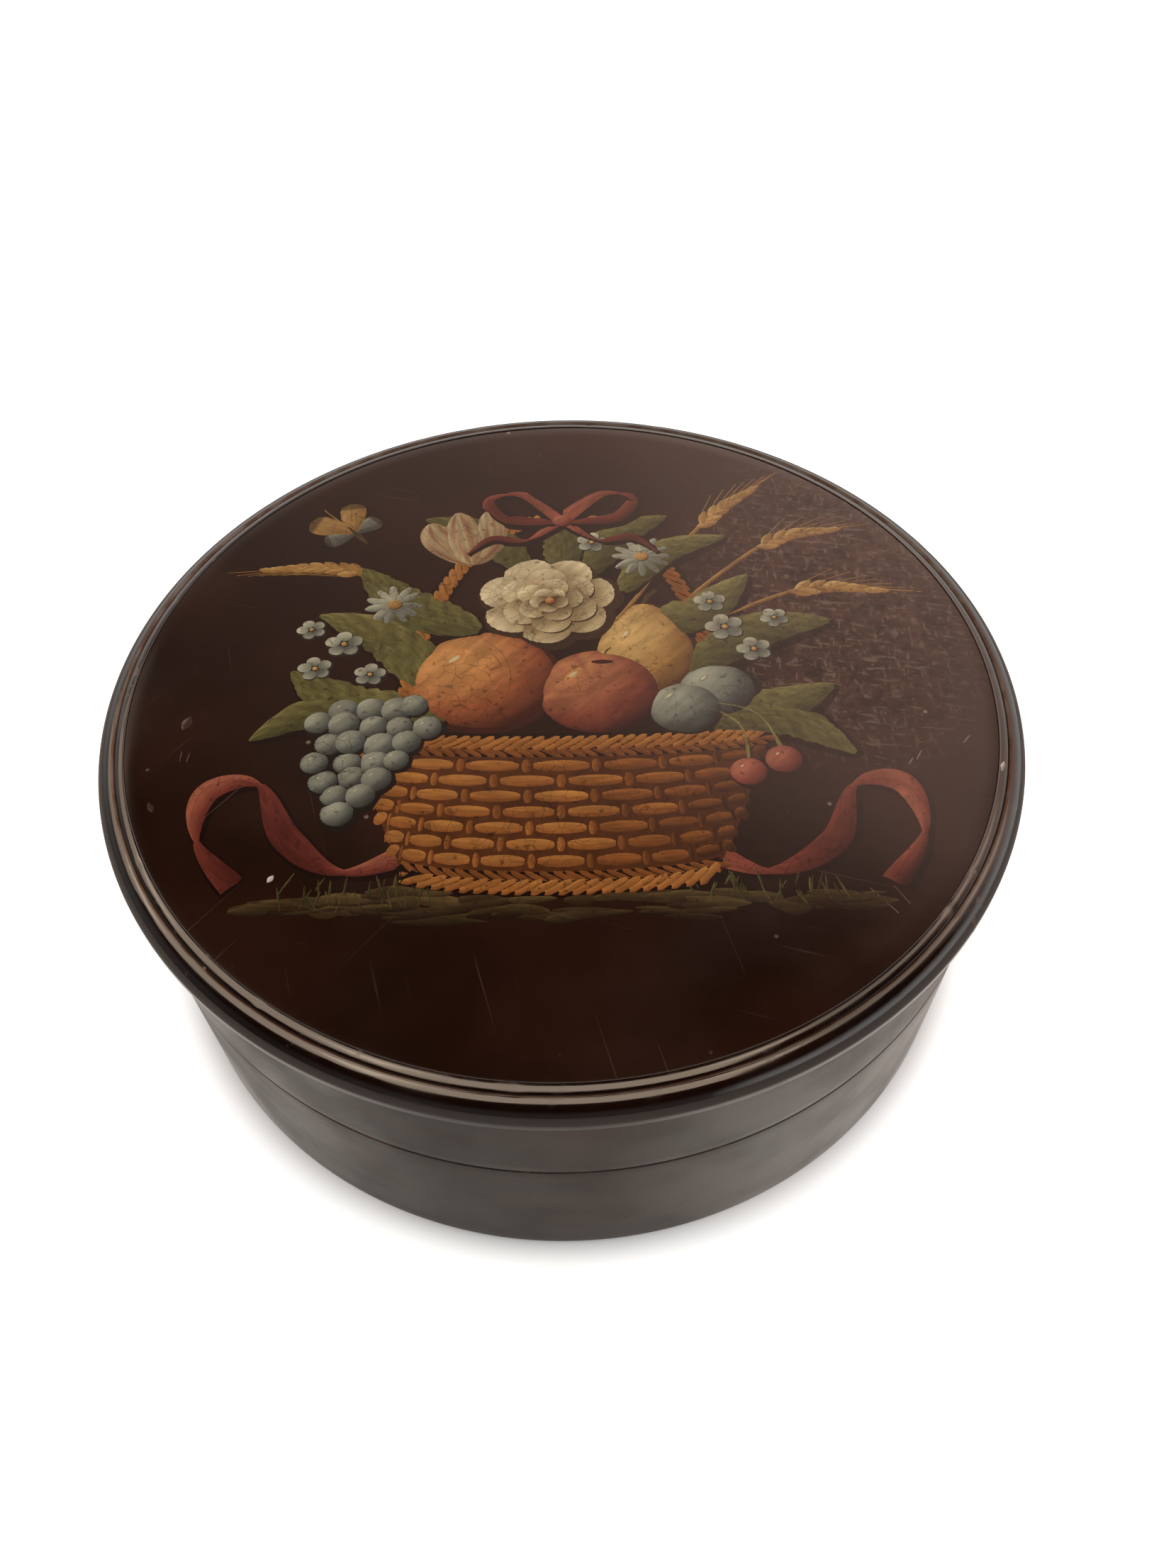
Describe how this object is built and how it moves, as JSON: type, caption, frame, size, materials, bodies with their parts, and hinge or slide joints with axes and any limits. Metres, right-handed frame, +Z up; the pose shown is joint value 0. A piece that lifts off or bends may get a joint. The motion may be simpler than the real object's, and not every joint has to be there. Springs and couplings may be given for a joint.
{
  "type": "round lacquered table box with lift-off lid",
  "caption": "Low round lacquered box with a flat painted lid, a moulded rim and a straight side; the lid lifts off a neck collar.",
  "frame": {"origin": "centre of the underside, where the box rests", "axes": "+Z up along the axis of the round box; +X and +Y span the table, and the painted design on the lid faces a viewer on the -Y side"},
  "size_m": [0.1, 0.1, 0.0364],
  "materials": {
    "side_lacquer": "dark brown lacquer over papier mache, satin gloss",
    "rim_lacquer": "dark brown lacquer over papier mache, high gloss",
    "top_lacquer": "dark brown lacquer over papier mache, high gloss, finely crazed, with painted decoration",
    "inside_lacquer": "red-brown lacquer over papier mache, satin",
    "underside_lacquer": "dark brown lacquer over papier mache, dull and rubbed"
  },
  "bodies": {
    "base": {"base_wall": "side_lacquer", "base_bottom_board": "underside_lacquer", "neck_collar": "inside_lacquer"},
    "lid": {"lid_skirt": "side_lacquer", "lid_rim_moulding": "rim_lacquer", "lid_top_board": "top_lacquer"}
  },
  "joints": [
    {"name": "lid_lift", "type": "slide", "parent": "base", "child": "lid", "axis": [0, 0, 1], "range_m": [0, 0.045]}
  ]
}
